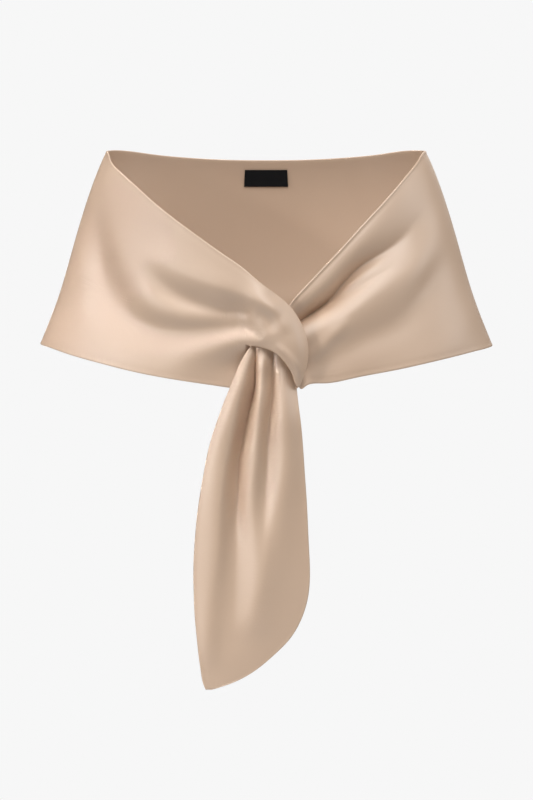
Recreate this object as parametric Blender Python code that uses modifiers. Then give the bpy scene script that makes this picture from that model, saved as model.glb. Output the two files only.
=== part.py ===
"""Evening stole of double satin, worn: one band goes round the shoulders, its left end passes
through a slit in its right end and hangs down in front.

Sizes are in millimetres and angles in degrees; build_sheet turns them into metres.
The worn form is an upright tube with an elliptical section at every height. A place on it is
(turn, height, lift): turn is 0 at the centre front, 90 at the wearer's left and 180 at the centre
back, height is 0 at the top of the shoulders, and lift is how far the cloth stands off the form.
"""
import bmesh
import bpy
import numpy as np

MM = 0.001
CLOTH_WALL = 2.0           # two layers of satin, bagged out
SEAM_GAP = 0.3
KNOT_SEAM_GAP = 1.0        # on the middle line, where the cloth turns behind the strip
SEAM_SHARE = 0.2           # how far between the knot's first two sections this seam lies
SLIT_LINE = 0.62           # where the slit lies across the right front, from neck edge to hem
SLIT_TURN = -4.95          # where the slit begins
CREASE_BOTTOM = 0.35       # half width of a crease's bottom, as a share of its narrower side
SIDE_FADE = 0.28           # cosine of the turn up to which folds fade beside the seams
ROUTE_STEPS = 120
LABEL_SIZE = (51.0, 19.5)
LABEL_WALL = 0.8
LABEL_GAP = 0.6            # clear of the facets of the back
LABEL_HEIGHT = -23.8       # middle of the label

BACK_GRID = (30, 10)       # faces along and across each sheet
FRONT_GRID = (34, 11)      # across: once above the slit line and once below it
STRIP_FACES = 22
TONGUE_FACES = 12
LEFT_GRID = (42, 28)
TAIL_GRID = (44, 24)
LABEL_GRID = (8, 3)

SATIN = (0.61, 0.43, 0.31, 1.0)
LABEL_BLACK = (0.012, 0.012, 0.014, 1.0)

# worn form: height, half width, depth of the front, depth of the back
FORM = (
    (-285.0, 283.0, 137.0, 127.0),
    (-223.0, 257.5, 135.0, 123.5),
    (-171.0, 237.0, 131.0, 120.0),
    (-114.0, 220.0, 123.5, 116.0),
    (-57.0, 203.0, 114.0, 110.0),
    (0.0, 180.5, 100.0, 99.0),
    (11.0, 175.0, 95.0, 95.0),
)

# sections of the back: turn, top edge height, hem height
BACK_SECTIONS = (
    (90.0, 0.0, -221.5),
    (105.0, 2.6, -223.5),
    (120.0, 3.6, -225.0),
    (135.0, 1.2, -226.5),
    (150.0, -0.9, -227.5),
    (165.0, -2.4, -228.0),
    (180.0, -2.7, -228.0),
    (195.0, -2.4, -228.0),
    (210.0, -0.9, -227.5),
    (225.0, 1.2, -226.0),
    (240.0, 3.4, -224.5),
    (255.0, 2.8, -222.5),
    (270.0, 0.0, -220.0),
)

# sections of the right front as far as the slit: turn, neck height, hem height,
# lift at the neck, lift at the hem, crown between them
RIGHT_SECTIONS = (
    (-90.0, 0.0, -220.0, 0.0, 0.0, 0.0),
    (-84.0, -1.3, -221.0, 0.0, 0.0, 0.0),
    (-78.6, -3.4, -222.3, 0.5, 0.0, 0.0),
    (-73.0, -7.1, -224.0, 1.5, 0.0, 0.0),
    (-67.3, -14.0, -226.6, 3.0, 0.0, 0.0),
    (-56.0, -28.0, -234.0, 6.0, 0.0, 0.0),
    (-43.8, -47.5, -243.3, 9.5, 0.0, 0.0),
    (-35.3, -65.4, -250.7, 12.0, 0.0, 0.0),
    (-25.8, -87.7, -258.5, 14.0, 0.0, 0.5),
    (-17.5, -108.6, -264.4, 15.5, 0.0, 1.5),
    (-10.7, -126.8, -269.0, 16.5, 0.0, 3.0),
    (SLIT_TURN, -143.6, -272.3, 17.0, 0.0, 4.5),
)

# sections of the strip above the slit, after the slit's start: outer edge x, height, slit lip x,
# height, lift at the outer edge, lift at the lip, crown between them
STRIP_SECTIONS = (
    (-6.6, -155.7, -12.0, -225.2, 16.5, 13.5, 5.0),
    (9.5, -168.2, -3.0, -227.2, 15.0, 15.0, 6.5),
    (24.4, -181.1, 5.5, -230.3, 12.5, 16.0, 8.0),
    (36.3, -198.2, 14.0, -236.2, 10.0, 17.0, 9.0),
    (43.2, -216.5, 20.6, -243.9, 9.0, 17.0, 8.0),
    (45.1, -232.0, 24.0, -250.0, 8.5, 16.5, 6.5),
    (43.3, -247.0, 27.5, -256.0, 8.0, 14.5, 4.5),
    (39.3, -261.0, 29.0, -258.5, 7.5, 10.5, 1.5),
    (34.5, -270.5, 27.0, -259.5, 5.8, 6.5, 0.0),
    (28.6, -273.4, 24.6, -258.0, 3.0, 3.0, 0.0),
)

# sections of the tongue below the slit, behind the tail: the same columns, lip first
TONGUE_SECTIONS = (
    (-15.0, -227.0, -14.0, -272.8, 5.0, -1.0, 0.0),
    (-9.0, -238.0, -6.0, -273.0, 0.5, -2.0, 0.0),
    (1.0, -249.5, 4.0, -273.1, -1.0, -2.0, 0.0),
    (14.0, -257.6, 16.0, -273.3, 0.0, -1.0, 0.0),
    (24.6, -258.0, 28.6, -273.4, 3.0, 3.0, 0.0),
)

# sections of the left front as far as the strip: the columns of the right front
LEFT_SECTIONS = (
    (90.0, 0.0, -221.5, 0.0, 0.0, 0.0),
    (84.0, -1.2, -223.0, 0.0, 0.0, 0.0),
    (77.5, -3.3, -224.6, 0.0, 0.0, 0.0),
    (71.7, -7.0, -226.5, 0.5, 0.0, 0.0),
    (64.5, -15.6, -229.2, 0.8, 0.0, 0.5),
    (56.0, -28.1, -233.6, 1.0, 0.0, 1.0),
    (48.0, -43.2, -238.7, 1.5, 0.0, 1.5),
    (40.3, -61.4, -244.4, 1.5, 0.0, 1.5),
    (33.9, -78.4, -249.6, 1.5, 0.0, 2.0),
    (27.0, -99.8, -254.9, 1.0, 0.0, 2.0),
    (20.0, -124.3, -260.8, 0.5, 0.0, 2.0),
    (13.5, -148.2, -265.8, 0.0, 0.0, 1.0),
    (9.1, -165.9, -268.8, 0.0, 0.0, 0.5),
)

# sections from the knot to the end of the tail: x and height at the neck edge, which becomes
# the tail's edge on the wearer's right, x and height at the hem edge, lifts and crown
KNOT_SECTIONS = (
    (27.0, -177.8, 36.5, -270.5, 1.5, 1.5, 0.0),
    (18.0, -190.0, 30.2, -260.5, 4.0, 5.0, 0.0),
    (3.5, -205.5, 26.2, -254.5, 7.0, 8.0, 0.0),
    (-11.0, -220.5, 24.0, -253.5, 9.0, 10.0, 1.0),
)
TAIL_SECTIONS = (
    (-19.6, -232.0, 26.6, -259.0, 11.5, 12.0, 3.0),
    (-27.0, -244.5, 30.4, -269.5, 13.0, 12.5, 4.0),
    (-37.3, -268.0, 33.8, -284.0, 13.0, 13.0, 5.0),
    (-49.6, -300.4, 36.6, -305.0, 13.0, 13.0, 5.0),
    (-60.0, -333.1, 39.2, -333.1, 13.0, 13.0, 4.0),
    (-66.5, -365.8, 41.4, -365.8, 13.0, 13.0, 3.0),
    (-71.8, -398.5, 43.6, -398.5, 13.0, 13.0, 2.0),
    (-76.0, -440.0, 45.5, -440.0, 13.0, 13.0, 2.0),
    (-77.4, -472.0, 46.8, -472.0, 13.0, 13.0, 2.0),
    (-77.0, -496.4, 45.2, -496.4, 13.0, 13.0, 2.0),
    (-76.4, -512.8, 41.4, -512.8, 13.0, 13.0, 2.0),
    (-75.2, -529.1, 34.9, -529.1, 13.0, 13.0, 2.0),
    (-73.6, -545.5, 24.6, -545.5, 13.0, 13.0, 1.0),
    (-72.0, -561.7, 8.9, -561.7, 13.0, 13.0, 1.0),
    (-69.9, -578.2, -10.5, -578.2, 13.0, 13.0, 0.5),
    (-67.1, -593.5, -38.5, -593.5, 13.0, 13.0, 0.0),
    (-64.4, -600.1, -58.0, -600.1, 13.0, 13.0, 0.0),
)

# folds and creases as seen from the front, each a route whose rows are x, height, width on its
# left, width on its right and lift (a ridge is above 0 and a trough below)
RIGHT_FOLDS = (
    # the neck edge standing off a little
    ((-160, -38, 20, 20, 0), (-121, -66, 24, 24, 1.5), (-94, -88, 24, 24, 2),
     (-67, -109, 24, 22, 2.5), (-43, -127, 22, 18, 3), (-20, -144, 18, 14, 3),
     (0, -160, 14, 10, 2.5), (12, -171, 10, 8, 0)),
    # roll below the neck edge, falling steeply into the valley
    ((-140, -112, 26, 20, 0), (-106, -134, 26, 15, 3), (-64, -154, 22, 12, 5),
     (-26, -167, 18, 10, 6), (-8, -176, 14, 8, 5), (5, -184, 10, 7, 3.5), (18, -194, 6, 5, 0)),
    # valley under that roll
    ((-150, -118, 14, 12, 0), (-113, -160, 11, 12, -3), (-71, -180, 10, 12, -5),
     (-50, -185, 9, 8, -5), (-35, -183, 7, 5, -3.5), (-26, -183, 5, 4, -2.5), (-16, -189, 5, 4, 0)),
    # second roll
    ((-150, -130, 14, 12, 0), (-119, -178, 14, 12, 1), (-74, -190, 10, 10, 0.5),
     (-45, -193, 8, 8, 0)),
    # wide crescent valley
    ((-176, -46, 16, 12, 0), (-184, -76, 17, 12, -1.5), (-188, -106, 19, 13, -4.5),
     (-186, -138, 22, 14, -7.5), (-176, -167, 24, 22, -8.5), (-151, -195, 20, 26, -8),
     (-118, -207, 15, 25, -6.5),
     (-78, -208, 12, 20, -6), (-52, -205, 13, 15, -6.5), (-36, -203, 17, 12, -7),
     (-22, -205, 15, 9, -6), (-9, -213, 9, 6, -3), (-1, -219, 5, 4, 0)),
    # third roll, which ends at the slit
    ((-120, -236, 14, 20, 0), (-75, -231, 12, 17, 1.5), (-40, -221, 9, 12, 2.5),
     (-26, -217, 7, 10, 3), (-16, -219, 5, 8, 2), (-9, -228, 5, 5, 0)),
    # hollow beside the tail
    ((-100, -262, 24, 24, 0), (-60, -252, 22, 24, -3), (-30, -246, 18, 20, -8),
     (-8, -244, 16, 20, -10), (10, -244, 14, 14, 0)),
)
LEFT_FOLDS = (
    # flat band below the neck edge
    ((175, -30, 12, 14, 0), (143, -71, 12, 12, 1), (115, -102, 11, 10, 1.5),
     (92, -128, 10, 9, 2), (70, -152, 8, 8, 2), (50, -171, 7, 7, 2), (30, -190, 6, 6, 0)),
    # narrow ridge beside the crease below that band
    ((153, -110, 4, 4, 0), (116, -141, 4, 4, 1.5), (82, -165, 4, 4, 2), (57, -183, 3, 3, 1)),
    # main roll
    ((198, -56, 14, 10, 0), (184, -108, 16, 14, 2.5), (161, -141, 16, 14, 4),
     (122, -169, 18, 11, 4), (88, -193, 18, 8, 4), (60, -208, 13, 7, 3), (36, -226, 8, 6, 2)),
    # broad valley with a short ridge in it
    ((205, -110, 14, 16, 0), (177, -166, 18, 14, -4), (143, -204, 16, 16, -5),
     (102, -219, 14, 14, -5), (76, -236, 14, 12, -4), (45, -250, 12, 10, -2)),
    ((95, -190, 5, 5, 0), (86, -202, 5, 6, 2), (77, -209, 5, 6, 3), (66, -220, 5, 6, 3.5),
     (56, -231, 5, 6, 2), (46, -240, 5, 6, 0)),
    # lower edge, flared
    ((238, -140, 20, 24, 0), (224, -190, 22, 24, 2), (178, -243, 22, 22, 3.5),
     (138, -258, 20, 18, 2), (100, -268, 18, 16, 0)),
)
LEFT_CREASES = (
    # deep crease below the neck edge's band, and a narrow one beside it
    ((186, -66, 12, 14, 0), (166, -88, 10, 13, -3), (143, -114, 9, 12, -9),
     (105, -140, 8, 10, -18), (78, -169, 9, 9, -24), (55, -187, 8, 8, -22), (37, -199, 7, 7, -17),
     (24, -208, 5, 6, -10)),
    ((151, -128, 3, 3, 0), (134, -141, 3, 3, -1), (113, -154, 3, 3, -2), (95, -166, 3, 3, -2.5),
     (69, -180, 3, 3, -2), (43, -197, 3, 3, 0)),
)
TAIL_FOLDS = (
    # left pleat
    ((-14, -228, 4, 4, 0), (-17, -236, 4, 5, 2), (-22, -251, 5, 8, 4), (-27, -270, 6, 11, 6),
     (-32, -290, 6, 15, 7), (-37, -317, 6, 19, 8), (-43, -345, 7, 21, 8), (-50, -395, 8, 22, 7.5),
     (-54, -450, 10, 20, 6), (-60, -500, 12, 15, 4), (-63, -550, 12, 11, 3),
     (-62, -585, 10, 8, 0)),
    # middle pleat
    ((-6, -230, 5, 4, 0), (-5, -251, 5, 5, 4), (-5, -273, 5, 5, 5), (-7, -300, 5, 6, 5),
     (-10, -330, 6, 8, 5), (-12, -350, 7, 9, 5), (-15, -395, 9, 10, 4.5),
     (-10, -450, 14, 12, 3.5), (-12, -500, 16, 14, 2), (-16, -550, 16, 12, 0)),
    # right pleat
    ((15, -240, 8, 5, 0), (17, -267, 9, 7, 4.5), (19, -289, 10, 8, 5.5), (21, -317, 12, 10, 6),
     (22, -345, 14, 12, 6), (15, -395, 18, 14, 6), (5, -450, 22, 16, 5), (-6, -500, 22, 14, 3.5),
     (-16, -540, 20, 14, 1.5), (-24, -570, 18, 12, 0)),
)
TAIL_CREASES = (
    # deep crease between the left and middle pleats
    ((-11.5, -222, 3, 3, -4), (-11.5, -251, 2.5, 6, -11), (-12, -270, 2.5, 8, -14),
     (-17, -289, 3.5, 9, -17), (-24, -317, 5, 10, -17), (-30, -345, 6, 11, -15),
     (-31.5, -395, 8, 10, -10), (-33, -450, 12, 12, -3.5), (-34, -510, 10, 14, -1.5),
     (-36, -560, 12, 14, 0)),
    # crease between the middle and right pleats
    ((9, -226, 3, 4, -3), (7, -251, 4, 5, -7), (6.5, -270, 4, 6, -9), (5, -289, 5, 7, -9),
     (2.5, -317, 6, 8, -8), (2, -345, 7, 8, -6), (0, -395, 9, 9, -3), (-4, -440, 10, 9, -1),
     (-8, -480, 10, 9, 0)),
)
# folds of the back, seen from behind, clear of the label
BACK_FOLDS = (
    ((170, -60, 20, 20, 0), (140, -140, 22, 22, 3), (80, -185, 24, 24, 3.5), (-30, -205, 24, 24, 0)),
    ((-172, -64, 18, 18, 0), (-150, -146, 20, 20, 3), (-96, -192, 22, 22, 3.5),
     (-20, -212, 22, 22, 0)),
    ((120, -130, 14, 14, 0), (70, -160, 16, 16, -2.5), (10, -172, 18, 18, -2.5),
     (-60, -168, 18, 18, 0)),
    ((-130, -120, 14, 14, 0), (-90, -160, 16, 16, -2.5), (-30, -178, 18, 18, 0)),
)


def spline(knots, values, places):
    """Natural cubic spline through rising knots; places beyond the ends stay at the ends."""
    knots = np.asarray(knots, float)
    values = np.asarray(values, float)
    count = len(knots)
    step = np.diff(knots)
    slope = np.diff(values) / step
    matrix = np.eye(count)
    right = np.zeros(count)
    for i in range(1, count - 1):
        matrix[i, i - 1:i + 2] = step[i - 1], 2 * (step[i - 1] + step[i]), step[i]
        right[i] = 6 * (slope[i] - slope[i - 1])
    bend = np.linalg.solve(matrix, right)
    places = np.clip(places, knots[0], knots[-1])
    i = np.clip(np.searchsorted(knots, places) - 1, 0, count - 2)
    after = places - knots[i]
    before = knots[i + 1] - places
    cubic = (bend[i] * before ** 3 + bend[i + 1] * after ** 3) / (6 * step[i])
    start = (values[i] / step[i] - bend[i] * step[i] / 6) * before
    end = (values[i + 1] / step[i] - bend[i + 1] * step[i] / 6) * after
    return cubic + start + end


def form_at(height):
    """Half width, front depth and back depth of the worn form; constant below its last row."""
    rows = np.array(FORM)
    return [spline(rows[:, 0], rows[:, column], height) for column in (1, 2, 3)]


def turn_at(x, height):
    """Turn on the front of the form at a place given by its x."""
    half_width = form_at(height)[0]
    return np.degrees(np.arcsin(x / half_width))


def on_form(turn, height, lift):
    """Points x, y, z at a turn, height and lift, the lift along the level normal."""
    half_width, front, back = form_at(height)
    angle = np.radians(turn)
    depth = np.where(np.cos(angle) > 0, front, back)
    x = half_width * np.sin(angle)
    y = -depth * np.cos(angle)
    normal_x = x / half_width ** 2
    normal_y = y / depth ** 2
    length = np.hypot(normal_x, normal_y)
    return np.stack((x + lift * normal_x / length, y + lift * normal_y / length, height), -1)


def share_of_route(route):
    """Share of the way along at each point of a route, by the lengths of its chords."""
    chord = np.concatenate(([0], np.cumsum(np.hypot(*np.diff(route, axis=0).T))))
    return chord / chord[-1]


def route_distance(x, height, route):
    """Signed distance to a route, above 0 on its left, and the share of the way along."""
    along = np.linspace(0, 1, ROUTE_STEPS + 1)
    chord = share_of_route(route)
    route_x = spline(chord, route[:, 0], along)
    route_height = spline(chord, route[:, 1], along)
    apart = np.hypot(x[..., None] - route_x, height[..., None] - route_height)
    nearest = apart.argmin(-1)
    forward_x = np.gradient(route_x)[nearest]
    forward_height = np.gradient(route_height)[nearest]
    across = forward_x * (height - route_height[nearest])
    across -= forward_height * (x - route_x[nearest])
    return np.sign(across) * apart.min(-1), nearest / ROUTE_STEPS


def smooth_step(low, high, value):
    """0 below low, 1 above high, with level ends."""
    share = np.clip((value - low) / (high - low), 0, 1)
    return share * share * (3 - 2 * share)


def ease_at(knots, values, places):
    """A smooth curve through the values, level at its ends, its slope at each knot the harmonic
    mean of the two slopes beside it."""
    step = np.diff(knots)
    rise = np.diff(values) / step
    before, after = rise[:-1], rise[1:]
    slope = np.zeros(len(knots))
    same = before * after > 0
    slope[1:-1][same] = 2 * before[same] * after[same] / (before[same] + after[same])
    i = np.clip(np.searchsorted(knots, places) - 1, 0, len(step) - 1)
    share = np.clip((places - knots[i]) / step[i], 0, 1)
    bend = step[i] * share * (1 - share) * (slope[i] * (1 - share) - slope[i + 1] * share)
    return values[i] + (values[i + 1] - values[i]) * smooth_step(0, 1, share) + bend


def fold_lift(x, height, folds, creases=()):
    """Sum of the folds, each a bell across its route, and of the creases, each steepest beside
    its route."""
    total = np.zeros_like(x)
    kinds = [(rows, False) for rows in folds] + [(rows, True) for rows in creases]
    for rows, is_crease in kinds:
        rows = np.array(rows, float)
        distance, share = route_distance(x, height, rows[:, :2])
        knots = share_of_route(rows[:, :2])
        left, right, lift = (ease_at(knots, rows[:, column], share) for column in (2, 3, 4))
        width = np.where(distance > 0, left, right)
        away = (distance / width) ** 2
        if is_crease:
            bottom = CREASE_BOTTOM * np.minimum(left, right)
            away = (np.hypot(distance, bottom) - bottom) / width
        total += lift * np.exp(-away)
    return total


def sections_by_turn(table):
    """Rows of turn, neck, hem, lifts, crown as neck turn, height, hem turn, height, ..."""
    rows = np.array(table)
    return rows[:, (0, 1, 0, 2, 3, 4, 5)]


def sections_by_x(table):
    """Rows whose places are given by x, with their x turned into turn."""
    rows = np.array(table)
    rows[:, 0] = turn_at(rows[:, 0], rows[:, 1])
    rows[:, 2] = turn_at(rows[:, 2], rows[:, 3])
    return rows


def run_of(sections):
    """Length along the middle of the cloth at each section."""
    first = on_form(sections[:, 0], sections[:, 1], sections[:, 4])
    last = on_form(sections[:, 2], sections[:, 3], sections[:, 5])
    steps = np.linalg.norm(np.diff((first + last) / 2, axis=0), axis=1)
    return np.concatenate(([0], np.cumsum(steps)))


def part_of(sections, start, end):
    """The stretch of each section from share start to share end, with its share of the crown."""
    share = np.array((start, end))
    steps = sections[:, 2:4] - sections[:, :2]
    turn = sections[:, :1] + steps[:, :1] * share
    height = sections[:, 1:2] + steps[:, 1:] * share
    neck_lift, hem_lift, crown = sections[:, 4:].T[..., None]
    lift = neck_lift + (hem_lift - neck_lift) * share + crown * 4 * share * (1 - share)
    crown = crown[:, 0] * (end - start) ** 2
    return np.column_stack((turn[:, 0], height[:, 0], turn[:, 1], height[:, 1], lift, crown))


def side_fade(turn):
    """Folds fade where the side of the form turns to the back."""
    return smooth_step(0, SIDE_FADE, np.abs(np.cos(np.radians(turn))))


def loft(sections, knots, run, across, folds, creases=()):
    """Points of a sheet: sections splined along the run, straight across with a crown."""
    columns = [spline(knots, column, run)[:, None] for column in sections.T]
    neck_turn, neck_height, hem_turn, hem_height, neck_lift, hem_lift, crown = columns
    turn = neck_turn + (hem_turn - neck_turn) * across
    height = neck_height + (hem_height - neck_height) * across
    lift = neck_lift + (hem_lift - neck_lift) * across + crown * 4 * across * (1 - across)
    flat = on_form(turn, height, lift)
    relief = fold_lift(flat[..., 0], height, folds, creases) * side_fade(turn)
    return on_form(turn, height, lift + relief)


def grid_faces(rows, columns, first=0):
    """Quads of a grid of points, numbered row by row, facing away from the body."""
    faces = []
    for i in range(rows - 1):
        for j in range(columns - 1):
            corner = first + i * columns + j
            faces.append((corner, corner + 1, corner + columns + 1, corner + columns))
    return faces


def build_material(name, colour, roughness):
    material = bpy.data.materials.new(name)
    material.use_nodes = True
    shader = material.node_tree.nodes["Principled BSDF"]
    shader.inputs["Base Color"].default_value = colour
    shader.inputs["Roughness"].default_value = roughness
    shader.inputs["Metallic"].default_value = 0.0
    return material


def build_sheet(name, grids, material, wall, collection):
    """A walled object from grids of points in millimetres; grids that share points are joined."""
    points = []
    faces = []
    for grid in grids:
        faces += grid_faces(grid.shape[0], grid.shape[1], len(points))
        points += [tuple(point * MM) for point in grid.reshape(-1, 3)]
    mesh = bpy.data.meshes.new(name)
    mesh.from_pydata(points, [], faces)
    work = bmesh.new()
    work.from_mesh(mesh)
    bmesh.ops.remove_doubles(work, verts=work.verts, dist=0.01 * MM)
    work.to_mesh(mesh)
    work.free()
    mesh.shade_smooth()
    mesh.materials.append(material)
    sheet = bpy.data.objects.new(name, mesh)
    collection.objects.link(sheet)
    solidify = sheet.modifiers.new("wall", "SOLIDIFY")
    solidify.thickness = wall * MM
    solidify.offset = 0.0
    solidify.use_even_offset = True
    solidify.use_quality_normals = True
    return sheet


def seam_turn(turn, side):
    """A side seam's turn moved by half of the seam gap, towards the given side."""
    depth = (FORM[2][2] + FORM[2][3]) / 2
    return turn + side * np.degrees(SEAM_GAP / 2 / depth)


def back_points(turn, height, lift):
    flat = on_form(turn, height, np.zeros_like(turn))
    relief = fold_lift(flat[..., 0], height, BACK_FOLDS) * side_fade(turn)
    return on_form(turn, height, lift + relief)


def build_back(material, collection):
    rows = np.array(BACK_SECTIONS)
    turn = np.linspace(seam_turn(90, 1), seam_turn(270, -1), BACK_GRID[0] + 1)[:, None]
    across = np.linspace(0, 1, BACK_GRID[1] + 1)
    top = spline(rows[:, 0], rows[:, 1], turn)
    hem = spline(rows[:, 0], rows[:, 2], turn)
    height = top + (hem - top) * across
    turn = np.broadcast_to(turn, height.shape)
    points = back_points(turn, height, 0.0)
    build_sheet("back", [points[:, ::-1]], material, CLOTH_WALL, collection)


def build_label(material, collection):
    half_turn = np.degrees(np.arcsin(LABEL_SIZE[0] / 2 / form_at(LABEL_HEIGHT)[0]))
    turn = np.linspace(180 - half_turn, 180 + half_turn, LABEL_GRID[0] + 1)[:, None]
    height = LABEL_HEIGHT + LABEL_SIZE[1] * np.linspace(0.5, -0.5, LABEL_GRID[1] + 1)
    turn, height = np.broadcast_arrays(turn, height)
    depth = -(CLOTH_WALL / 2 + LABEL_GAP + LABEL_WALL / 2)
    points = back_points(turn, height, depth)
    build_sheet("label", [points[:, ::-1]], material, LABEL_WALL, collection)


def build_front_right(material, collection):
    """The right front with its slit: the panel, the strip above the slit and the tongue below."""
    evenly = np.linspace(0, 1, FRONT_GRID[1] + 1)
    panel = sections_by_turn(RIGHT_SECTIONS)
    panel[0, (0, 2)] = seam_turn(-90, 1)
    knots = run_of(panel)
    slit = knots[-1]
    panel_run = np.linspace(0, slit, FRONT_GRID[0] + 1)
    grids = []
    for start, end, table, faces in (
        (0, SLIT_LINE, STRIP_SECTIONS, STRIP_FACES),
        (SLIT_LINE, 1, TONGUE_SECTIONS, TONGUE_FACES),
    ):
        sections = np.concatenate((part_of(panel, start, end), sections_by_x(table)))
        after = slit + run_of(sections[len(panel) - 1:])
        run = np.concatenate((panel_run, np.linspace(slit, after[-1], faces + 1)[1:]))
        points = loft(sections, np.concatenate((knots, after[1:])), run, evenly, RIGHT_FOLDS)
        grids.append(points)
    upper, lower = grids
    rows = FRONT_GRID[0] + 1
    apart = upper[:rows, -1] - lower[:rows, 0]
    lower[:rows] += apart[:, None] * ((1 - evenly) ** 2)[:, None]
    lower[-1] = upper[-1, ::-1]
    build_sheet("front_right", grids, material, CLOTH_WALL, collection)


def build_left_and_tail(material, collection):
    """The left front and the tail are one sheet, parted by a seam gap behind the strip."""
    left = sections_by_turn(LEFT_SECTIONS)
    left[0, (0, 2)] = seam_turn(90, -1)
    sections = np.concatenate((left, sections_by_x(KNOT_SECTIONS), sections_by_x(TAIL_SECTIONS)))
    knots = run_of(sections)
    knot = len(LEFT_SECTIONS)
    seam = knots[knot] + SEAM_SHARE * (knots[knot + 1] - knots[knot])
    across = np.linspace(0, 1, LEFT_GRID[1] + 1)
    run = np.linspace(0, seam - KNOT_SEAM_GAP / 2, LEFT_GRID[0] + 1)
    points = loft(sections, knots, run, across, LEFT_FOLDS, LEFT_CREASES)
    build_sheet("front_left", [points[::-1]], material, CLOTH_WALL, collection)
    across = np.linspace(0, 1, TAIL_GRID[1] + 1)
    run = np.linspace(seam + KNOT_SEAM_GAP / 2, knots[-1], TAIL_GRID[0] + 1)
    points = loft(sections, knots, run, across, TAIL_FOLDS, TAIL_CREASES)
    build_sheet("tail", [points[::-1]], material, CLOTH_WALL, collection)


def main():
    for old in list(bpy.data.objects):
        bpy.data.objects.remove(old, do_unlink=True)
    collection = bpy.data.collections.new("evening_stole")
    bpy.context.scene.collection.children.link(collection)
    build_back(build_material("back satin", SATIN, 0.5), collection)
    build_front_right(build_material("right front satin", SATIN, 0.42), collection)
    satin = build_material("left front satin", SATIN, 0.42)
    build_left_and_tail(satin, collection)
    build_label(build_material("label weave", LABEL_BLACK, 0.6), collection)


main()
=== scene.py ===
import bpy
import numpy as np
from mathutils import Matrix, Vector


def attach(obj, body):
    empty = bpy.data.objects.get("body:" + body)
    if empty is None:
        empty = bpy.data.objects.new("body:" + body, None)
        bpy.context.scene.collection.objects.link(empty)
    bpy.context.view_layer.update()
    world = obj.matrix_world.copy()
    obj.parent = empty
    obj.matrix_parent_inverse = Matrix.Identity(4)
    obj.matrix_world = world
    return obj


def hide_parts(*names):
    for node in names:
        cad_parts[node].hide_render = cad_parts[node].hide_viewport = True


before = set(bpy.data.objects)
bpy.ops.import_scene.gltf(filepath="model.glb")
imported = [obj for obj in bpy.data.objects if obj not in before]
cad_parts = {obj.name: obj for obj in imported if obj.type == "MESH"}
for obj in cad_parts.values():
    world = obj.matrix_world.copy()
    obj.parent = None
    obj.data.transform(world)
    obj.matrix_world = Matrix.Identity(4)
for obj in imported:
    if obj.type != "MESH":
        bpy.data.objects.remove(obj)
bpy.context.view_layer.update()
print("frame loaded")

# Sizes are in millimetres and angles in degrees until meshFromGrids turns them into metres.
# A place on the worn form is turn (0 centre front, 90 wearer's left, 180 centre back),
# height (0 at the top of the shoulders) and lift, how far the cloth stands off the form.
mm = 0.001

# what the worn form is at each height: height, half width, front depth, back depth
formRows = (
    (-285.0, 283.0, 137.0, 127.0),
    (-223.0, 257.5, 135.0, 123.5),
    (-171.0, 237.0, 131.0, 120.0),
    (-114.0, 220.0, 123.5, 116.0),
    (-57.0, 203.0, 114.0, 110.0),
    (0.0, 180.5, 100.0, 99.0),
    (11.0, 175.0, 95.0, 95.0),
)


def spline(knots, values, places):
    # natural cubic spline through rising knots, held still beyond its ends
    knots = np.asarray(knots, float)
    values = np.asarray(values, float)
    count = len(knots)
    step = np.diff(knots)
    slope = np.diff(values) / step
    matrix = np.eye(count)
    right = np.zeros(count)
    inner = np.arange(1, count - 1)
    matrix[inner, inner - 1] = step[:-1]
    matrix[inner, inner] = 2 * (step[:-1] + step[1:])
    matrix[inner, inner + 1] = step[1:]
    right[1:-1] = 6 * np.diff(slope)
    bend = np.linalg.solve(matrix, right)
    places = np.clip(places, knots[0], knots[-1])
    i = np.clip(np.searchsorted(knots, places) - 1, 0, count - 2)
    after = places - knots[i]
    before = knots[i + 1] - places
    cubic = (bend[i] * before ** 3 + bend[i + 1] * after ** 3) / (6 * step[i])
    start = (values[i] / step[i] - bend[i] * step[i] / 6) * before
    end = (values[i + 1] / step[i] - bend[i + 1] * step[i] / 6) * after
    return cubic + start + end


def smoothStep(low, high, value):
    # 0 below low, 1 above high, with level ends: 3 t squared minus 2 t cubed
    share = np.clip((value - low) / (high - low), 0, 1)
    return share * share * (3 - 2 * share)


def formAt(height):
    rows = np.array(formRows)
    return [spline(rows[:, 0], rows[:, column], height) for column in (1, 2, 3)]


def turnAt(x, height):
    return np.degrees(np.arcsin(x / formAt(height)[0]))


def onForm(turn, height, lift):
    # x is half width times sin turn, y is minus depth times cos turn, both moved out by lift
    # along the level normal of that ellipse
    halfWidth, front, back = formAt(height)
    angle = np.radians(turn)
    depth = np.where(np.cos(angle) > 0, front, back)
    x = halfWidth * np.sin(angle)
    y = -depth * np.cos(angle)
    normalX = x / halfWidth ** 2
    normalY = y / depth ** 2
    length = np.hypot(normalX, normalY)
    return np.stack((x + lift * normalX / length, y + lift * normalY / length, height), -1)


def shareOfRoute(route):
    # share of the way along at each point of a route, by the lengths of its chords
    chord = np.concatenate(([0], np.cumsum(np.hypot(*np.diff(route, axis=0).T))))
    return chord / chord[-1]


def routeDistance(x, height, route):
    # signed distance to a splined route, above 0 on its left, and the share of the way along
    samples = 160
    chord = shareOfRoute(route)
    along = np.linspace(0, 1, samples + 1)
    routeX = spline(chord, route[:, 0], along)
    routeHeight = spline(chord, route[:, 1], along)
    apart = np.hypot(x[..., None] - routeX, height[..., None] - routeHeight)
    nearest = apart.argmin(-1)
    forwardX = np.gradient(routeX)[nearest]
    forwardHeight = np.gradient(routeHeight)[nearest]
    across = forwardX * (height - routeHeight[nearest]) - forwardHeight * (x - routeX[nearest])
    return np.sign(across) * apart.min(-1), nearest / samples


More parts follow.
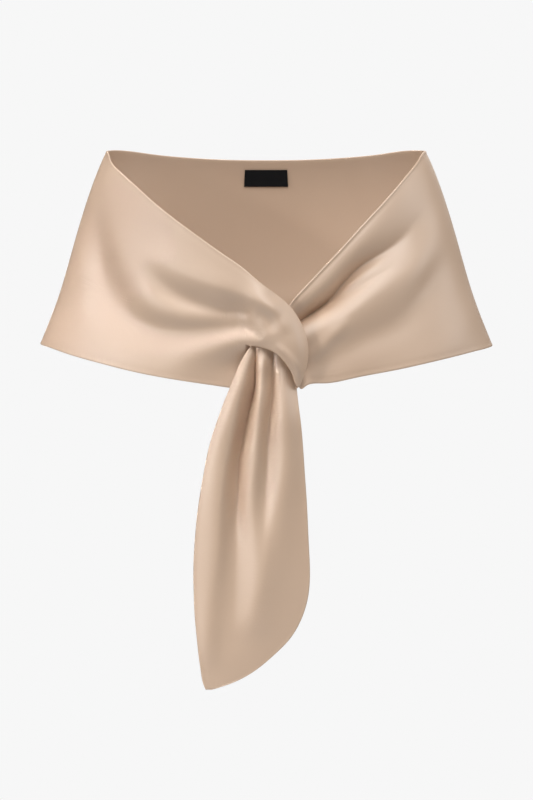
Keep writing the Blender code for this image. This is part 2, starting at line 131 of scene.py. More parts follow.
def easeAt(knots, values, places):
    # a smooth curve through the values, level at its ends: between two knots it is their
    # smoothStep plus t (1 - t) times the slopes kept at the knots, each the harmonic mean of
    # the two slopes beside it
    step = np.diff(knots)
    rise = np.diff(values) / step
    before, after = rise[:-1], rise[1:]
    slope = np.zeros(len(knots))
    same = before * after > 0
    slope[1:-1][same] = 2 * before[same] * after[same] / (before[same] + after[same])
    i = np.clip(np.searchsorted(knots, places) - 1, 0, len(step) - 1)
    share = np.clip((places - knots[i]) / step[i], 0, 1)
    bend = step[i] * share * (1 - share) * (slope[i] * (1 - share) - slope[i + 1] * share)
    return values[i] + (values[i + 1] - values[i]) * smoothStep(0, 1, share) + bend


def foldLift(x, height, folds, creases=()):
    # a fold's rows are x, height, width on the left of its route, width on the right and lift;
    # across the route it is a bell: lift times exp of minus (distance / width) squared; a
    # crease is steepest beside its narrow bottom: lift times exp of minus (root / width), where
    # the root is that of distance squared plus bottom squared, less bottom
    total = np.zeros_like(x)
    for kind, rows in [("fold", rows) for rows in folds] + [("crease", rows) for rows in creases]:
        rows = np.array(rows, float)
        distance, share = routeDistance(x, height, rows[:, :2])
        knots = shareOfRoute(rows[:, :2])
        left, right, lift = (easeAt(knots, rows[:, column], share) for column in (2, 3, 4))
        width = np.where(distance > 0, left, right)
        bottom = stole["creaseBottom"] * np.minimum(left, right)
        steep = (np.hypot(distance, bottom) - bottom) / width
        away = (distance / width) ** 2 if kind == "fold" else steep
        total += lift * np.exp(-away)
    return total


def lapLift(x, height, laps):
    # a pleat that laps over its neighbour: a steep step across the route, high on the left of
    # the route and low on its right, each side falling off as a bell of its own width
    total = np.zeros_like(x)
    for rows in laps:
        rows = np.array(rows, float)
        distance, share = routeDistance(x, height, rows[:, :2])
        knots = shareOfRoute(rows[:, :2])
        step, high, low = (easeAt(knots, rows[:, column], share) for column in (2, 3, 4))
        side = 0.5 + 0.5 * np.tanh(distance / step)
        total += side * high * np.exp(-(distance / stole["lapHighWidth"]) ** 2)
        total -= (1 - side) * low * np.exp(-(distance / stole["lapLowWidth"]) ** 2)
    return total


def sectionsByTurn(rows):
    return np.array(rows)[:, (0, 1, 0, 2, 3, 4, 5)]


def sectionsByX(rows):
    rows = np.array(rows)
    rows[:, 0] = turnAt(rows[:, 0], rows[:, 1])
    rows[:, 2] = turnAt(rows[:, 2], rows[:, 3])
    return rows


def runOf(sections):
    # length along the middle of the cloth at each section
    first = onForm(sections[:, 0], sections[:, 1], sections[:, 4])
    last = onForm(sections[:, 2], sections[:, 3], sections[:, 5])
    steps = np.linalg.norm(np.diff((first + last) / 2, axis=0), axis=1)
    return np.concatenate(([0], np.cumsum(steps)))


def partOf(sections, start, end):
    # the stretch of each section from share start to share end; its lift is a curve of the
    # second order, so its crown shrinks with the square of the stretch
    turn, height = (sections[:, i, None] + (sections[:, i + 2] - sections[:, i])[:, None]
                    * np.array((start, end)) for i in (0, 1))
    neckLift, hemLift, crown = sections[:, 4:].T[..., None]
    share = np.array((start, end))
    lift = neckLift + (hemLift - neckLift) * share + crown * 4 * share * (1 - share)
    crown = crown[:, 0] * (end - start) ** 2
    return np.column_stack((turn[:, 0], height[:, 0], turn[:, 1], height[:, 1], lift, crown))


def edgeRoll(distance):
    # the turned edge: a small roll along it, and the shallow groove where the layers are held
    roll = stole["rollLift"] * np.exp(-((distance / stole["rollWidth"] - 1) / 0.8) ** 2)
    groove = stole["grooveLift"] * np.exp(-((distance - stole["grooveAt"]) / stole["grooveWidth"]) ** 2)
    return roll - groove


def loft(sections, knots, run, across, rolls, folds=(), creases=(), laps=()):
    # sections splined along the run; across it a straight line with a crown 4 v (1 - v),
    # moved out by the folds, which fade where the side of the form turns to the back, and by
    # the rolls of its two long edges
    columns = [spline(knots, column, run)[:, None] for column in sections.T]
    neckTurn, neckHeight, hemTurn, hemHeight, neckLift, hemLift, crown = columns
    turn = neckTurn + (hemTurn - neckTurn) * across
    height = neckHeight + (hemHeight - neckHeight) * across
    lift = neckLift + (hemLift - neckLift) * across + crown * 4 * across * (1 - across)
    flat = onForm(turn, height, lift)
    relief = foldLift(flat[..., 0], height, folds, creases)
    relief += lapLift(flat[..., 0], height, laps)
    relief *= smoothStep(0, stole["sideFade"], np.abs(np.cos(np.radians(turn))))
    span = np.linalg.norm(flat[:, -1] - flat[:, 0], axis=1)[:, None]
    relief += rolls[0] * edgeRoll(span * across) + rolls[1] * edgeRoll(span * (1 - across))
    return onForm(turn, height, lift + relief)


def closeRun(length, faces, bias):
    # places along a run, closer together towards its end: length times (1 - (1 - t) ^ bias)
    share = np.linspace(0, 1, faces + 1)
    return length * (1 - (1 - share) ** bias)


def edgeShares(faces):
    # shares from 0 to 1 with a few narrow faces at both ends, for the rounded edge
    edge = np.array(stole["edgeShares"])
    middle = np.linspace(edge[-1], 1 - edge[-1], faces - 2 * len(edge) + 3)
    return np.concatenate((edge[:-1], middle, 1 - edge[:-1][::-1]))


def edgeDistance(grid, closedEnd=True):
    # distance of each point from the open edges of its grid, in millimetres
    steps = np.linalg.norm(np.diff(grid, axis=1), axis=2)
    fromFirst = np.concatenate((np.zeros((len(grid), 1)), np.cumsum(steps, axis=1)), axis=1)
    fromLast = fromFirst[:, -1:] - fromFirst
    distance = np.minimum(fromFirst, fromLast)
    if not closedEnd:
        steps = np.linalg.norm(np.diff(grid, axis=0), axis=2)
        fromStart = np.concatenate((np.zeros((1, grid.shape[1])), np.cumsum(steps, axis=0)))
        distance = np.minimum(distance, fromStart[-1:] - fromStart)
    return distance


def meshFromGrids(name, grids, distances, runs, wall, material):
    # joins grids of points that share their edge points, gives them the cloth's wall, thinner
    # at the open edges so that they read as turned, and a UV map in metres along the cloth
    points = np.concatenate([grid.reshape(-1, 3) for grid in grids]) * mm
    faces = []
    first = 0
    for grid in grids:
        rows, columns = grid.shape[:2]
        index = np.arange(rows * columns).reshape(rows, columns) + first
        corners = (index[:-1, :-1], index[:-1, 1:], index[1:, 1:], index[1:, :-1])
        faces.append(np.stack(corners, -1).reshape(-1, 4))
        first += rows * columns
    faces = np.concatenate(faces)
    places = np.concatenate([run.reshape(-1, 2) for run in runs]) * mm
    distance = np.concatenate([part.reshape(-1) for part in distances])
    rounded = np.clip(distance / stole["edgeRadius"], 0, 1)
    thickness = np.sqrt(1 - (1 - rounded) ** 2)
    mesh = bpy.data.meshes.new(name)
    mesh.from_pydata(points.tolist(), [], faces.tolist())
    uvMap = mesh.uv_layers.new(name="cloth")
    uvMap.data.foreach_set("uv", places[faces.reshape(-1)].astype(np.float32).reshape(-1))
    mesh.materials.append(material)
    piece = bpy.data.objects.new(name, mesh)
    bpy.context.scene.collection.objects.link(piece)
    group = piece.vertex_groups.new(name="thickness")
    levels = 20
    steps = np.round(thickness * levels).astype(int)
    for level in range(levels + 1):
        group.add(np.flatnonzero(steps == level).tolist(), level / levels, "REPLACE")
    weld = piece.modifiers.new("join", "WELD")
    weld.merge_threshold = 0.00002
    solidify = piece.modifiers.new("wall", "SOLIDIFY")
    solidify.thickness = wall * mm
    solidify.offset = 0.0
    solidify.vertex_group = "thickness"
    solidify.thickness_vertex_group = 0.25
    mesh.shade_smooth()
    return piece


def toLinear(hexColour):
    # sRGB hex to linear: ((c + 0.055) / 1.055) ^ 2.4, or c / 12.92 when dark
    channels = np.array([int(hexColour[i:i + 2], 16) / 255 for i in (1, 3, 5)])
    low = channels / 12.92
    high = ((channels + 0.055) / 1.055) ** 2.4
    return (*np.where(channels <= 0.04045, low, high).tolist(), 1.0)


def addNode(tree, kind, settings=None, links=None):
    # one node with its own settings, socket values, and links given as socket: (node, output)
    node = tree.nodes.new(kind)
    for key, value in (settings or {}).items():
        if key in node.inputs and not hasattr(node, key):
            node.inputs[key].default_value = value
        else:
            setattr(node, key, value)
    for socket, (source, output) in (links or {}).items():
        tree.links.new(source.outputs[output], node.inputs[socket])
    return node


def newMaterial(name):
    material = bpy.data.materials.new(name)
    material.use_nodes = True
    material.node_tree.nodes.clear()
    return material, material.node_tree


satin = {
    "colour": "#CBAE94",
    "shade": "#C4A58A",
    "roughness": 0.54,
    "ior": 2.1,            # above polyester's own 1.6, for the satin's strong pale sheen
    "threadMm": 0.9,       # drawn coarser than the real 0.1 mm filament, so that it shows
    "threadBump": 0.05,
}


def buildSatin(name, roughness):
    # Woven polyester duchess satin: long warp floats lie side by side and give a broad soft
    # gloss, with faint streaks along the warp. The UV map runs in metres along the band.
    material, tree = newMaterial(name)
    place = addNode(tree, "ShaderNodeTexCoord")
    stretch = addNode(tree, "ShaderNodeMapping", {"Scale": (0.12, 1.0, 1.0)},
                      {"Vector": (place, "UV")})
    threadScale = 1.0 / (satin["threadMm"] * mm)
    threads = addNode(tree, "ShaderNodeTexNoise", {"Scale": threadScale, "Detail": 2.0},
                      {"Vector": (stretch, "Vector")})
    clouds = addNode(tree, "ShaderNodeTexNoise", {"Scale": 9.0, "Detail": 3.0},
                     {"Vector": (place, "Object")})
    mix = addNode(tree, "ShaderNodeMix", {"data_type": "RGBA"}, {"Factor": (clouds, "Fac")})
    mix.inputs[6].default_value = toLinear(satin["shade"])
    mix.inputs[7].default_value = toLinear(satin["colour"])
    bump = addNode(tree, "ShaderNodeBump", {"Strength": satin["threadBump"], "Distance": 0.0003},
                   {"Height": (threads, "Fac")})
    shader = addNode(tree, "ShaderNodeBsdfPrincipled",
                     {"Roughness": roughness, "IOR": satin["ior"]},
                     {"Normal": (bump, "Normal")})
    tree.links.new(mix.outputs[2], shader.inputs["Base Color"])
    addNode(tree, "ShaderNodeOutputMaterial", {}, {"Surface": (shader, "BSDF")})
    return material


# The stole: one band round the shoulders, with a slit in its right end, and the tail, which is
# the band's left end after it has come through the slit.
stole = {
    "wall": 2.0,
    "edgeRadius": 1.6,
    "edgeShares": (0.0, 0.002, 0.005, 0.009, 0.014, 0.020, 0.028),
    "rollLift": 0.5,
    "rollWidth": 1.3,
    "grooveLift": 0.35,
    "grooveWidth": 2.5,
    "grooveAt": 5.0,
    "leftNeckRoll": 1.0,
    "plainRoll": 0.3,
    "creaseBottom": 0.35,  # share of its narrower side
    "sideFade": 0.28,
    "slitLine": 0.62,
    "slitTurn": -4.95,
    "rows": 56,            # faces across, above the slit line and again below it
    "rightFaces": 150,
    "backFaces": 66,
    "leftFaces": 150,
    "leftOverlap": 6.0,
    "stripFaces": 110,
    "tongueFaces": 30,
    "tailFaces": 320,
    "tailRows": 140,
    "lapHighWidth": 12.0,
    "lapLowWidth": 8.0,
    "lipEase": 12.0,
}

backSections = (
    (90.0, 0.0, -221.5),
    (105.0, 2.6, -223.5),
    (120.0, 3.6, -225.0),
    (135.0, 1.2, -226.5),
    (150.0, -0.9, -227.5),
    (165.0, -2.4, -228.0),
    (180.0, -2.7, -228.0),
    (195.0, -2.4, -228.0),
    (210.0, -0.9, -227.5),
    (225.0, 1.2, -226.0),
    (240.0, 3.4, -224.5),
    (255.0, 2.8, -222.5),
    (270.0, 0.0, -220.0),
)
rightSections = (
    (-90.0, 0.0, -220.0, 0.0, 0.0, 0.0),
    (-84.0, -1.3, -221.0, 0.0, 0.0, 0.0),
    (-78.6, -3.4, -222.3, 0.5, 0.0, 0.0),
    (-73.0, -7.1, -224.0, 1.5, 0.0, 0.0),
    (-67.3, -14.0, -226.6, 3.0, 0.0, 0.0),
    (-56.0, -28.0, -234.0, 6.0, 0.0, 0.0),
    (-43.8, -47.5, -243.3, 9.5, 0.0, 0.0),
    (-35.3, -65.4, -250.7, 12.0, 0.0, 0.0),
    (-25.8, -87.7, -258.5, 14.0, 0.0, 0.5),
    (-17.5, -108.6, -264.4, 15.5, 0.0, 1.5),
    (-10.7, -126.8, -269.0, 16.5, 0.0, 3.0),
    (stole["slitTurn"], -143.6, -272.3, 17.0, 0.0, 4.5),
)
# the strip above the slit and the tongue below it, both after the slit's start: x and height
# at the outer edge, x and height at the lip, their lifts, crown; the tongue's lip comes first
stripSections = (
    (-6.6, -155.7, -12.0, -225.2, 16.5, 13.5, 5.0),
    (9.5, -168.2, -3.0, -227.2, 15.0, 15.0, 6.5),
    (24.4, -181.1, 5.5, -230.3, 12.5, 16.0, 8.0),
    (36.3, -198.2, 14.0, -236.2, 10.0, 17.0, 9.0),
    (43.2, -216.5, 20.6, -243.9, 9.0, 17.0, 8.0),
    (45.1, -232.0, 25.2, -251.0, 8.5, 16.0, 6.0),
    (43.3, -247.0, 28.6, -258.3, 8.5, 14.0, 3.5),
    (39.3, -259.8, 31.0, -265.5, 8.5, 12.5, 1.5),
    (34.8, -269.6, 33.2, -269.6, 8.0, 10.0, 0.0),
    (29.5, -272.6, 28.6, -264.0, 3.0, 3.0, 0.0),
    (23.0, -273.4, 22.0, -254.0, 1.0, 1.0, 0.0),
)
tongueSections = (
    (-15.0, -227.0, -14.0, -272.8, 5.0, -1.0, 0.0),
    (-9.0, -236.0, -6.0, -273.0, 0.5, -2.0, 0.0),
    (1.0, -246.0, 4.0, -273.1, -1.0, -2.0, 0.0),
    (12.0, -251.0, 14.0, -273.3, 0.0, -1.0, 0.0),
    (22.0, -254.0, 23.0, -273.4, 1.0, 1.0, 0.0),
)
leftSections = (
    (90.0, 0.0, -221.5, 0.0, 0.0, 0.0),
    (84.0, -1.2, -223.0, 0.0, 0.0, 0.0),
    (77.5, -3.3, -224.6, 0.0, 0.0, 0.0),
    (71.7, -7.0, -226.5, 0.5, 0.0, 0.0),
    (64.5, -15.6, -229.2, 0.8, 0.0, 0.5),
    (56.0, -28.1, -233.6, 1.0, 0.0, 1.0),
    (48.0, -43.2, -238.7, 1.5, 0.0, 1.5),
    (40.3, -61.4, -244.4, 1.5, 0.0, 1.5),
    (33.9, -78.4, -249.6, 1.5, 0.0, 2.0),
    (27.0, -99.8, -254.9, 1.0, 0.0, 2.0),
    (20.0, -124.3, -260.8, 0.5, 0.0, 2.0),
    (13.5, -148.2, -265.8, 0.0, 0.0, 1.0),
    (9.1, -165.9, -268.8, 0.0, 0.0, 0.5),
)
# from the knot to the end of the tail: x and height at the neck edge, which becomes the tail's
# edge on the wearer's right, x and height at the hem edge, lifts and crown
knotSections = (
    (27.0, -177.8, 36.5, -270.5, 0.5, 1.0, 0.0),
    (18.0, -190.0, 32.6, -260.0, 3.0, 3.0, 0.0),
    (3.5, -205.5, 30.2, -252.5, 6.0, 5.0, 0.0),
    (-11.0, -218.5, 29.6, -251.0, 8.3, 6.0, 1.0),
)
tailSections = (
    (-19.5, -229.5, 31.2, -257.5, 10.3, 5.6, 2.5),
    (-27.0, -243.0, 32.8, -268.5, 12.0, 5.0, 4.0),
    (-37.3, -268.0, 34.2, -284.0, 13.0, 8.5, 5.0),
    (-49.6, -300.4, 36.6, -305.0, 13.0, 13.0, 5.0),
    (-60.0, -333.1, 39.2, -333.1, 13.0, 13.0, 4.0),
    (-66.5, -365.8, 41.4, -365.8, 13.0, 13.0, 3.0),
    (-71.8, -398.5, 43.6, -398.5, 13.0, 13.0, 2.0),
    (-76.0, -440.0, 45.5, -440.0, 13.0, 13.0, 2.0),
    (-77.4, -472.0, 46.8, -472.0, 13.0, 13.0, 2.0),
    (-77.0, -496.4, 45.2, -496.4, 13.0, 13.0, 2.0),
    (-76.4, -512.8, 41.4, -512.8, 13.0, 13.0, 2.0),
    (-75.2, -529.1, 34.9, -529.1, 13.0, 13.0, 2.0),
    (-73.6, -545.5, 24.6, -545.5, 13.0, 13.0, 1.0),
    (-72.0, -561.7, 8.9, -561.7, 13.0, 13.0, 1.0),
    (-69.9, -578.2, -10.5, -578.2, 13.0, 13.0, 0.5),
    (-67.1, -593.5, -38.5, -593.5, 13.0, 13.0, 0.0),
    (-64.4, -600.1, -58.0, -600.1, 13.0, 13.0, 0.0),
)

# folds as seen from the front, each a route whose rows are x, height, width on its left, width
# on its right and lift; a ridge is above 0 and a valley below
rightFolds = (
    # the neck edge standing off a little
    ((-160, -38, 20, 20, 0), (-121, -66, 24, 24, 1.5), (-94, -88, 24, 24, 2),
     (-67, -109, 24, 22, 2.5), (-43, -127, 22, 18, 3), (-20, -144, 18, 14, 3),
     (0, -160, 14, 10, 2.5), (12, -171, 10, 8, 0)),
    # roll below the neck edge, falling steeply into the valley
    ((-140, -112, 26, 20, 0), (-106, -134, 26, 15, 3), (-64, -154, 22, 12, 5),
     (-26, -167, 18, 10, 6), (-8, -176, 14, 8, 5), (5, -184, 10, 7, 3.5), (18, -194, 6, 5, 0)),
    # valley under that roll
    ((-150, -118, 14, 12, 0), (-113, -160, 11, 12, -3), (-71, -180, 10, 12, -6),
     (-50, -185, 9, 9, -6), (-35, -186, 8, 7, -4.5), (-24, -188, 7, 6, -3), (-12, -195, 6, 5, 0)),
    # second roll
    ((-150, -130, 14, 12, 0), (-119, -178, 14, 12, 1), (-74, -190, 10, 10, 0.5),
     (-45, -193, 8, 8, 0)),
    # wide crescent valley
    ((-176, -46, 16, 12, 0), (-184, -76, 17, 12, -1.5), (-188, -106, 19, 13, -5.5),
     (-186, -138, 22, 14, -9), (-176, -167, 24, 22, -10), (-151, -195, 20, 26, -9),
     (-118, -207, 15, 25, -7.5),
     (-78, -208, 12, 20, -6.5), (-52, -205, 13, 15, -7), (-36, -203, 17, 12, -7),
     (-22, -205, 15, 9, -6), (-9, -213, 9, 6, -3), (-1, -219, 5, 4, 0)),
    # third roll, which ends at the slit
    ((-120, -236, 14, 20, 0), (-75, -231, 12, 17, 1.5), (-40, -221, 9, 12, 2),
     (-26, -218, 8, 11, 2), (-15, -220, 6, 9, 1.5), (-5, -229, 6, 6, 0)),
    # ridge that turns down the strip, and the hollow inside its turn
    ((-30, -162, 10, 8, 0), (-8, -174, 11, 8, 1.5), (9, -186, 12, 8, 2.5), (18, -201, 12, 8, 2),
     (23, -216, 10, 8, 0)),
    ((-16, -190, 6, 7, 0), (-6, -193, 7, 8, -1.5), (4, -202, 7, 8, -2), (9, -214, 6, 7, 0)),
    # pucker along the strip's lip
    ((9, -222, 4, 3, 0), (19, -231, 4, 3, 2), (28, -241, 4, 3, 2.5), (35, -253, 4, 3, 1.5),
     (36, -262, 3, 3, 0)),
    # hollow beside the tail
    ((-100, -262, 24, 24, 0), (-60, -252, 22, 24, -3), (-30, -246, 18, 20, -8),
     (-8, -244, 16, 20, -10), (10, -244, 14, 14, 0)),
)
leftFolds = (
    # flat band below the neck edge
    ((175, -30, 12, 14, 0), (143, -71, 12, 12, 1), (115, -102, 11, 10, 1.5),
     (92, -128, 10, 9, 2), (70, -152, 8, 8, 2), (50, -171, 7, 7, 2), (30, -190, 6, 6, 0)),
    # narrow ridge beside the crease below that band
    ((153, -110, 4, 4, 0), (116, -141, 4, 4, 1.5), (82, -165, 4, 4, 2), (57, -183, 3, 3, 1)),
    # main roll
    ((198, -56, 14, 10, 0), (184, -108, 16, 14, 2.5), (161, -141, 17, 15, 3.5),
     (122, -169, 20, 13, 3), (88, -192, 20, 11, 2.5), (60, -207, 15, 9, 2), (36, -222, 9, 7, 1.5)),
    # broad valley with a short ridge in it
    ((205, -110, 14, 16, 0), (177, -166, 18, 14, -4), (143, -202, 18, 17, -4),
     (104, -219, 17, 16, -3.5), (76, -236, 15, 13, -2.5), (45, -250, 12, 10, -1.5)),
    ((95, -192, 7, 7, 0), (84, -204, 7, 8, 1.5), (74, -213, 7, 8, 2.5), (64, -223, 7, 8, 2.5),
     (55, -233, 6, 7, 1.5), (46, -242, 6, 7, 0)),
    # lower edge, flared
    ((238, -140, 20, 24, 0), (224, -190, 22, 24, 2), (178, -243, 22, 22, 3.5),
     (138, -258, 20, 18, 2), (100, -268, 18, 16, 0)),
)
leftCreases = (
    # deep crease below the neck edge's band, and a narrow one beside it
    ((186, -66, 12, 14, 0), (166, -88, 10, 13, -3), (143, -114, 9, 12, -9),
     (105, -140, 8, 10, -18), (78, -169, 7, 9, -23), (55, -187, 5, 9, -22), (37, -199, 4, 8, -18),
     (24, -208, 3, 7, -12)),
    ((151, -128, 3, 3, 0), (134, -141, 3, 3, -1), (113, -154, 3, 3, -2), (95, -166, 3, 3, -2.5),
     (69, -180, 3, 3, -2), (43, -197, 3, 3, 0)),
)
tailFolds = (
    # left pleat
    ((-14, -228, 4, 4, 0), (-17, -236, 4, 5, 2), (-22, -251, 5, 8, 4), (-27, -270, 6, 11, 6),
     (-32, -290, 6, 15, 7), (-37, -317, 6, 19, 8), (-43, -345, 7, 21, 8), (-50, -395, 8, 22, 7.5),
     (-54, -450, 10, 20, 6), (-60, -500, 12, 15, 4), (-63, -550, 12, 11, 3),
     (-62, -585, 10, 8, 0)),
    # middle pleat
    ((-6, -230, 5, 4, 0), (-5, -251, 5, 5, 4), (-5, -273, 5, 5, 5), (-7, -300, 5, 6, 5),
     (-10, -330, 6, 8, 5), (-12, -350, 7, 9, 5), (-15, -395, 9, 10, 4.5),
     (-10, -450, 14, 12, 3.5), (-12, -500, 16, 14, 2), (-16, -550, 16, 12, 0)),
    # right pleat
    ((15, -240, 8, 5, 0), (17, -267, 9, 7, 4.5), (19, -289, 10, 8, 5.5), (21, -317, 12, 10, 6),
     (22, -345, 14, 12, 6), (15, -395, 18, 14, 6), (5, -450, 22, 16, 5), (-6, -500, 22, 14, 3.5),
     (-16, -540, 20, 14, 1.5), (-24, -570, 18, 12, 0)),
)
tailCreases = (
    # deep crease between the left and middle pleats
    ((-11.5, -222, 3, 3, -4), (-11.5, -251, 2.5, 6, -11), (-12, -270, 2.5, 8, -14),
     (-17, -289, 3.5, 9, -17), (-24, -317, 5, 10, -17), (-30, -345, 6, 11, -15),
     (-31.5, -395, 8, 10, -10), (-33, -450, 12, 12, -3.5), (-34, -510, 10, 14, -1.5),
     (-36, -560, 12, 14, 0)),
    # crease between the middle and right pleats
    ((9, -226, 3, 4, -3), (7, -251, 4, 5, -7), (6.5, -270, 4, 6, -9), (5, -289, 5, 7, -9),
     (2.5, -317, 6, 8, -8), (2, -345, 7, 8, -6), (0, -395, 9, 9, -3), (-4, -440, 10, 9, -1),
     (-8, -480, 10, 9, 0)),
)
# the middle pleat laps over the deep crease: x, height, width of the step, high and low side
tailLaps = (
    ((-9, -232, 1, 0, 0), (-10.5, -251, 1, 2.5, 1), (-11, -277, 1, 3, 1), (-16, -304, 1.5, 1.5, 0),
     (-22, -325, 2, 0, 0)),
)
backFolds = (
    ((170, -60, 20, 20, 0), (140, -140, 22, 22, 3), (80, -185, 24, 24, 3.5), (-30, -205, 24, 24, 0)),
    ((-172, -64, 18, 18, 0), (-150, -146, 20, 20, 3), (-96, -192, 22, 22, 3.5),
     (-20, -212, 22, 22, 0)),
    ((120, -130, 14, 14, 0), (70, -160, 16, 16, -2.5), (10, -172, 18, 18, -2.5),
     (-60, -168, 18, 18, 0)),
    ((-130, -120, 14, 14, 0), (-90, -160, 16, 16, -2.5), (-30, -178, 18, 18, 0)),
)


def clothPlaces(grid, start=0.0):
    # where each point lies on the flat cloth: the way along the band and the way across it
    along = np.linalg.norm(np.diff(grid.mean(axis=1), axis=0), axis=1)
    along = start + np.concatenate(([0], np.cumsum(along)))
    steps = np.linalg.norm(np.diff(grid, axis=1), axis=2)
    across = np.concatenate((np.zeros((len(grid), 1)), np.cumsum(steps, axis=1)), axis=1)
    return np.stack((np.broadcast_to(along[:, None], across.shape), across), -1)


def acrossShares():
    rows = stole["rows"]
    upper = edgeShares(rows) * stole["slitLine"]
    lower = stole["slitLine"] + edgeShares(rows) * (1 - stole["slitLine"])
    return upper, lower


def backPoints(turn, height, lift):
    flat = onForm(turn, height, 0.0)
    relief = foldLift(flat[..., 0], height, backFolds)
    relief *= smoothStep(0, stole["sideFade"], np.abs(np.cos(np.radians(turn))))
    return onForm(turn, height, lift + relief)


def backGrid(across):
    rows = np.array(backSections)
    turn = np.linspace(90, 270, stole["backFaces"] + 1)[:, None]
    top = spline(rows[:, 0], rows[:, 1], turn)
    hem = spline(rows[:, 0], rows[:, 2], turn)
    height = top + (hem - top) * across
    lift = stole["plainRoll"] * (edgeRoll(top - height) + edgeRoll(height - hem))
    return backPoints(np.broadcast_to(turn, height.shape), height, lift)


def rightGrids():
    # the panel above and below the slit line, running on as the strip and as the tongue
    evenly = edgeShares(stole["rows"])
    slitLine = stole["slitLine"]
    right = sectionsByTurn(rightSections)
    knots = runOf(right)
    slit = knots[-1]
    strip = np.concatenate((partOf(right, 0, slitLine), sectionsByX(stripSections)))
    stripKnots = np.concatenate((knots, slit + runOf(strip[len(right) - 1:])[1:]))
    tongue = np.concatenate((partOf(right, slitLine, 1), sectionsByX(tongueSections)))
    tongueKnots = np.concatenate((knots, slit + runOf(tongue[len(right) - 1:])[1:]))

    panelRun = closeRun(slit, stole["rightFaces"], 1.5)
    stripRun = np.linspace(slit, stripKnots[-1], stole["stripFaces"] + 1)
    tongueRun = np.linspace(slit, tongueKnots[-1], stole["tongueFaces"] + 1)
    upperRun = np.concatenate((panelRun, stripRun[1:]))
    lowerRun = np.concatenate((panelRun, tongueRun[1:]))
    opened = smoothStep(slit, slit + stole["lipEase"], upperRun)[:, None]
    plain = stole["plainRoll"]
    upper = loft(strip, stripKnots, upperRun, evenly, (plain, plain * opened), rightFolds)
    lower = loft(tongue, tongueKnots, lowerRun, evenly, (0.0, plain), rightFolds)
    # the two meet along the slit line as far as the slit, so the lower one is eased to the upper
    panel = len(panelRun)
    apart = (upper[:panel, -1] - lower[:panel, 0])[:, None]
    lower[:panel] += apart * ((1 - evenly) ** 2)[:, None]
    lower[-1] = upper[-1, ::-1]
    return upper[:panel], lower[:panel], upper[panel - 1:], lower[panel - 1:]


def buildBand(material):
    upperShares, lowerShares = acrossShares()
    across = np.concatenate((upperShares, lowerShares[1:]))
    middle = len(upperShares) - 1

    left = np.concatenate((sectionsByTurn(leftSections), sectionsByX(knotSections)))
    knots = runOf(left)
    seam = knots[len(leftSections)] + stole["leftOverlap"]
    rolls = (stole["leftNeckRoll"], stole["plainRoll"])
    leftGrid = loft(left, knots, closeRun(seam, stole["leftFaces"], 1.5), across, rolls,
                    leftFolds, leftCreases)
    upper, lower, stripGrid, tongueGrid = rightGrids()

    # from the seam behind the strip round the back to the slit, as one sheet
    rightGrid = np.concatenate((upper, lower[:, 1:]), axis=1)
    bandGrid = np.concatenate((leftGrid[::-1], backGrid(across)[1:-1], rightGrid))
    grids = [bandGrid, stripGrid, tongueGrid]
    distances = [edgeDistance(bandGrid), edgeDistance(stripGrid), edgeDistance(tongueGrid)]
    distances[2][:, 0] = 0
    runs = [clothPlaces(bandGrid)]
    end = runs[0][-1, 0, 0]
    runs.append(clothPlaces(stripGrid, end))
    runs.append(clothPlaces(tongueGrid, end) + (0, runs[0][-1, middle, 1]))
    band = meshFromGrids("satinBand", grids, distances, runs, stole["wall"], material)
    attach(band, "root")
    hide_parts("back", "front_right", "front_left")
    return band


def buildTail(material):
    left = np.concatenate((sectionsByTurn(leftSections), sectionsByX(knotSections),
                           sectionsByX(tailSections)))
    knots = runOf(left)
    start = knots[len(leftSections)]
    run = np.linspace(start, knots[-1], stole["tailFaces"] + 1)
    across = edgeShares(stole["tailRows"])
    grid = loft(left, knots, run, across, (stole["plainRoll"],) * 2, tailFolds, tailCreases,
                tailLaps)
    distance = edgeDistance(grid, closedEnd=False)
    tail = meshFromGrids("satinTail", [grid[::-1]], [distance[::-1]],
                         [clothPlaces(grid)[::-1]], stole["wall"], material)
    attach(tail, "root")
    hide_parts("tail")
    return tail


satinFace = buildSatin("woven duchess satin", satin["roughness"])
band = buildBand(satinFace)
print("band made")
tail = buildTail(satinFace)
print("tail made")

label = {
    "size": (51.0, 19.5),
    "height": -23.8,
    "wall": 0.8,
    "gap": 0.6,
    "colour": "#0C0C0E",
    "faces": (100, 40),
}


def buildLabel():
    # Woven damask label: black polyester, fine ribs across.
    material, tree = newMaterial("woven polyester label")
    place = addNode(tree, "ShaderNodeTexCoord")
    ribs = addNode(tree, "ShaderNodeTexWave", {"Scale": 300.0, "bands_direction": "Z"},
                   {"Vector": (place, "Object")})
    bump = addNode(tree, "ShaderNodeBump", {"Strength": 0.3, "Distance": 0.0002},
                   {"Height": (ribs, "Fac")})
    shader = addNode(tree, "ShaderNodeBsdfPrincipled",
                     {"Base Color": toLinear(label["colour"]), "Roughness": 0.85, "IOR": 1.3},
                     {"Normal": (bump, "Normal")})
    addNode(tree, "ShaderNodeOutputMaterial", {}, {"Surface": (shader, "BSDF")})
    halfTurn = np.degrees(np.arcsin(label["size"][0] / 2 / formAt(label["height"])[0]))
    turn = np.linspace(180 - halfTurn, 180 + halfTurn, label["faces"][0] + 1)[:, None]
    height = label["height"] + label["size"][1] * np.linspace(0.5, -0.5, label["faces"][1] + 1)
    turn, height = np.broadcast_arrays(turn, height)
    lift = -(stole["wall"] / 2 + label["gap"] + label["wall"] / 2)
    grid = backPoints(turn, height, lift)
    distance = edgeDistance(grid)
    piece = meshFromGrids("neckLabel", [grid], [distance], [clothPlaces(grid)],
                          label["wall"], material)
    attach(piece, "root")
    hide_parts("label")


buildLabel()
print("label made")

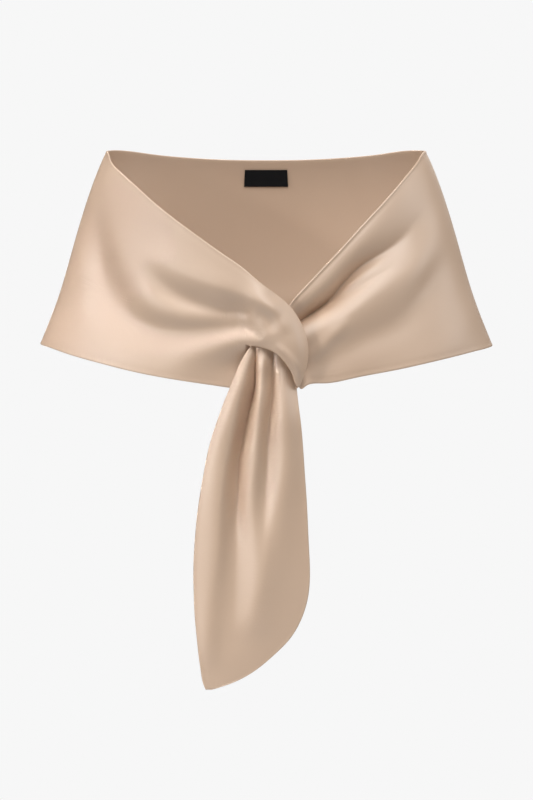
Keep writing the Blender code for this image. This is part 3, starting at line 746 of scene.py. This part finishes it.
studio = {
    "distance": 3.42,
    "aimHeight": -0.284,
    "lens": 135.0,
    "floorHeight": -1.35,
    "backdrop": "#F7F7F7",
    "ambient": 0.06,
    "aim": (0.0, -0.08),
    # name, turn from the front, angle above the level, distance, width, power in watts, height
    # aimed at and spread of the beam
    "lamps": (("key", -82.0, 51.0, 3.0, 1.8, 61.0, -0.25, 180.0),
              ("top", 13.0, 57.0, 3.0, 2.0, 74.0, -0.25, 180.0),
              ("right", 84.0, 24.0, 3.0, 1.4, 23.0, -0.25, 180.0),
              ("tail", -54.0, 16.0, 3.0, 0.7, 0.8, -0.5, 14.0),
              ("behind", 165.0, 30.0, 3.0, 2.0, 24.0, -0.25, 180.0)),
}


def buildCamera():
    camera = bpy.data.objects.new("camera", bpy.data.cameras.new("camera"))
    camera.data.lens = studio["lens"]
    camera.data.sensor_width = 36.0
    camera.location = (0.0005, -studio["distance"], studio["aimHeight"])
    camera.rotation_euler = (np.pi / 2, 0, 0)
    bpy.context.scene.collection.objects.link(camera)
    bpy.context.scene.camera = camera


def addSoftLight(name, turn, rise, distance, width, power, aimHeight, spread):
    light = bpy.data.lights.new(name, "AREA")
    light.size = width
    light.spread = np.radians(spread)
    light.energy = power
    lamp = bpy.data.objects.new(name, light)
    turn, rise = np.radians((turn, rise))
    away = Vector((np.sin(turn) * np.cos(rise), -np.cos(turn) * np.cos(rise), np.sin(rise)))
    lamp.location = Vector((*studio["aim"], aimHeight)) + away * distance
    lamp.rotation_euler = away.to_track_quat("Z", "Y").to_euler()
    bpy.context.scene.collection.objects.link(lamp)


def buildStudio():
    # pale floor well below the hanging stole, and a pale even surround
    bpy.ops.mesh.primitive_circle_add(vertices=96, radius=3.0, fill_type="NGON",
                                      location=(0, 0, studio["floorHeight"]))
    floor = bpy.context.object
    floor.name = "studioFloor"
    material, tree = newMaterial("matt paper floor")
    grain = addNode(tree, "ShaderNodeTexNoise", {"Scale": 40.0})
    bump = addNode(tree, "ShaderNodeBump", {"Strength": 0.02}, {"Height": (grain, "Fac")})
    shader = addNode(tree, "ShaderNodeBsdfPrincipled",
                     {"Base Color": toLinear("#F2F2F2"), "Roughness": 0.9},
                     {"Normal": (bump, "Normal")})
    addNode(tree, "ShaderNodeOutputMaterial", {}, {"Surface": (shader, "BSDF")})
    floor.data.materials.append(material)

    world = bpy.data.worlds.new("studio surround")
    bpy.context.scene.world = world
    world.use_nodes = True
    tree = world.node_tree
    tree.nodes.clear()
    seen = addNode(tree, "ShaderNodeBackground", {"Color": toLinear(studio["backdrop"]),
                                                  "Strength": 1.0})
    lit = addNode(tree, "ShaderNodeBackground", {"Color": toLinear("#FFFFFF"),
                                                 "Strength": studio["ambient"]})
    path = addNode(tree, "ShaderNodeLightPath")
    mix = addNode(tree, "ShaderNodeMixShader", {}, {"Fac": (path, "Is Camera Ray")})
    tree.links.new(lit.outputs[0], mix.inputs[1])
    tree.links.new(seen.outputs[0], mix.inputs[2])
    addNode(tree, "ShaderNodeOutputWorld", {}, {"Surface": (mix, "Shader")})
    for lamp in studio["lamps"]:
        addSoftLight(*lamp)


buildCamera()
buildStudio()
bpy.context.scene.view_settings.view_transform = "Standard"
print("studio made")
